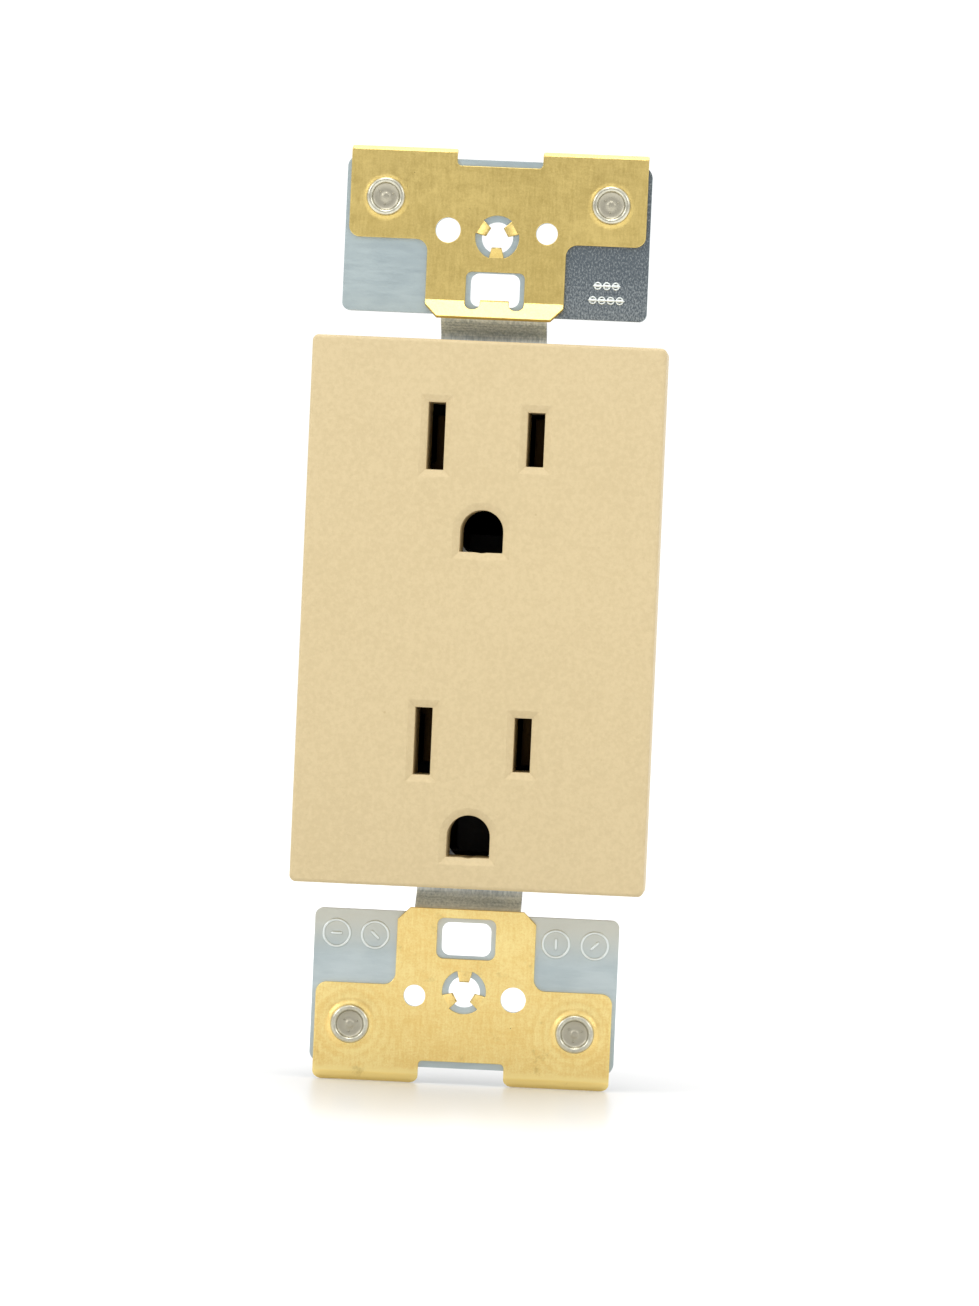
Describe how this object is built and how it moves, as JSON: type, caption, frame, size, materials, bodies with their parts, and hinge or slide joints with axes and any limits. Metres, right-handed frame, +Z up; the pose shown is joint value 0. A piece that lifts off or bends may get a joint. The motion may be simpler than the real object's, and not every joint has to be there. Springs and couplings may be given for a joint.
{
  "type": "duplex wall outlet",
  "caption": "Wall outlet with two grounded sockets in one flat rectangular face, on a steel strap with brass clip plates, side screw terminals and rear wiring holes.",
  "frame": {"origin": "half way between the two wall-plate screw holes, on the rear face of the strap's ears", "axes": "+X right as the outlet is faced, +Y into the wall, +Z up along the outlet's length; the face looks along -Y"},
  "size_m": [0.0452, 0.0262, 0.1204],
  "materials": {
    "ivory_plastic": "fine matte moulded ivory",
    "dark_plastic": "matte moulded dark grey",
    "zinc_steel": "bright zinc plate, drawn grain",
    "clip_brass": "rolled sheet brass",
    "rivet_nickel": "nickel plate",
    "contact_brass": "stamped spring brass",
    "screw_steel": "zinc plate",
    "screw_brass": "brass plate",
    "screw_nickel": "nickel plate",
    "screw_green": "green passivated steel",
    "clamp_steel": "zinc plate"
  },
  "bodies": {
    "outlet_body": {"front_cover": "ivory_plastic", "rear_housing": "dark_plastic", "mounting_strap": "zinc_steel", "top_clip_plate": "clip_brass", "bottom_clip_plate": "clip_brass", "clip_rivet_top_left": "rivet_nickel", "clip_rivet_top_right": "rivet_nickel", "clip_rivet_bottom_left": "rivet_nickel", "clip_rivet_bottom_right": "rivet_nickel", "line_contact_strip": "contact_brass", "neutral_contact_strip": "contact_brass", "ground_contact_upper": "contact_brass", "ground_contact_lower": "contact_brass", "ground_contact_rivets": "contact_brass", "assembly_screw_upper_left": "screw_steel", "assembly_screw_upper_right": "screw_steel", "assembly_screw_lower_left": "screw_steel", "assembly_screw_lower_right": "screw_steel"},
    "line_clamp_upper_body": {"line_clamp_upper": "clamp_steel"},
    "line_screw_upper_body": {"line_screw_upper": "screw_brass"},
    "line_clamp_lower_body": {"line_clamp_lower": "clamp_steel"},
    "line_screw_lower_body": {"line_screw_lower": "screw_brass"},
    "neutral_clamp_upper_body": {"neutral_clamp_upper": "clamp_steel"},
    "neutral_screw_upper_body": {"neutral_screw_upper": "screw_nickel"},
    "neutral_clamp_lower_body": {"neutral_clamp_lower": "clamp_steel"},
    "neutral_screw_lower_body": {"neutral_screw_lower": "screw_nickel"},
    "ground_clamp_body": {"ground_clamp": "clamp_steel"},
    "ground_screw_body": {"ground_screw": "screw_green"}
  },
  "joints": [
    {"name": "line_upper_clamp_slide", "type": "slide", "parent": "outlet_body", "child": "line_clamp_upper_body", "axis": [1, 0, 0], "range_m": [0, 0.00238]},
    {"name": "line_upper_screw_turn", "type": "hinge", "parent": "line_clamp_upper_body", "child": "line_screw_upper_body", "pos_m": [0.0176, 0.008, 0.0105], "axis": [1, 0, 0], "range_deg": [0, 1080]},
    {"name": "line_lower_clamp_slide", "type": "slide", "parent": "outlet_body", "child": "line_clamp_lower_body", "axis": [1, 0, 0], "range_m": [0, 0.00238]},
    {"name": "line_lower_screw_turn", "type": "hinge", "parent": "line_clamp_lower_body", "child": "line_screw_lower_body", "pos_m": [0.0176, 0.008, -0.0105], "axis": [1, 0, 0], "range_deg": [0, 1080]},
    {"name": "neutral_upper_clamp_slide", "type": "slide", "parent": "outlet_body", "child": "neutral_clamp_upper_body", "axis": [-1, 0, 0], "range_m": [0, 0.00238]},
    {"name": "neutral_upper_screw_turn", "type": "hinge", "parent": "neutral_clamp_upper_body", "child": "neutral_screw_upper_body", "pos_m": [-0.0176, 0.008, 0.0105], "axis": [-1, 0, 0], "range_deg": [0, 1080]},
    {"name": "neutral_lower_clamp_slide", "type": "slide", "parent": "outlet_body", "child": "neutral_clamp_lower_body", "axis": [-1, 0, 0], "range_m": [0, 0.00238]},
    {"name": "neutral_lower_screw_turn", "type": "hinge", "parent": "neutral_clamp_lower_body", "child": "neutral_screw_lower_body", "pos_m": [-0.0176, 0.008, -0.0105], "axis": [-1, 0, 0], "range_deg": [0, 1080]},
    {"name": "ground_clamp_slide", "type": "slide", "parent": "outlet_body", "child": "ground_clamp_body", "axis": [-1, 0, 0], "range_m": [0, 0.00238]},
    {"name": "ground_screw_turn", "type": "hinge", "parent": "ground_clamp_body", "child": "ground_screw_body", "pos_m": [-0.0176, 0.008, -0.02431], "axis": [-1, 0, 0], "range_deg": [0, 1080]}
  ],
  "couplings": [
    {"joint": "line_upper_screw_turn", "follows": "line_upper_clamp_slide", "rad_per_m": 7913.3},
    {"joint": "line_lower_screw_turn", "follows": "line_lower_clamp_slide", "rad_per_m": 7913.3},
    {"joint": "neutral_upper_screw_turn", "follows": "neutral_upper_clamp_slide", "rad_per_m": 7913.3},
    {"joint": "neutral_lower_screw_turn", "follows": "neutral_lower_clamp_slide", "rad_per_m": 7913.3},
    {"joint": "ground_screw_turn", "follows": "ground_clamp_slide", "rad_per_m": 7913.3}
  ]
}
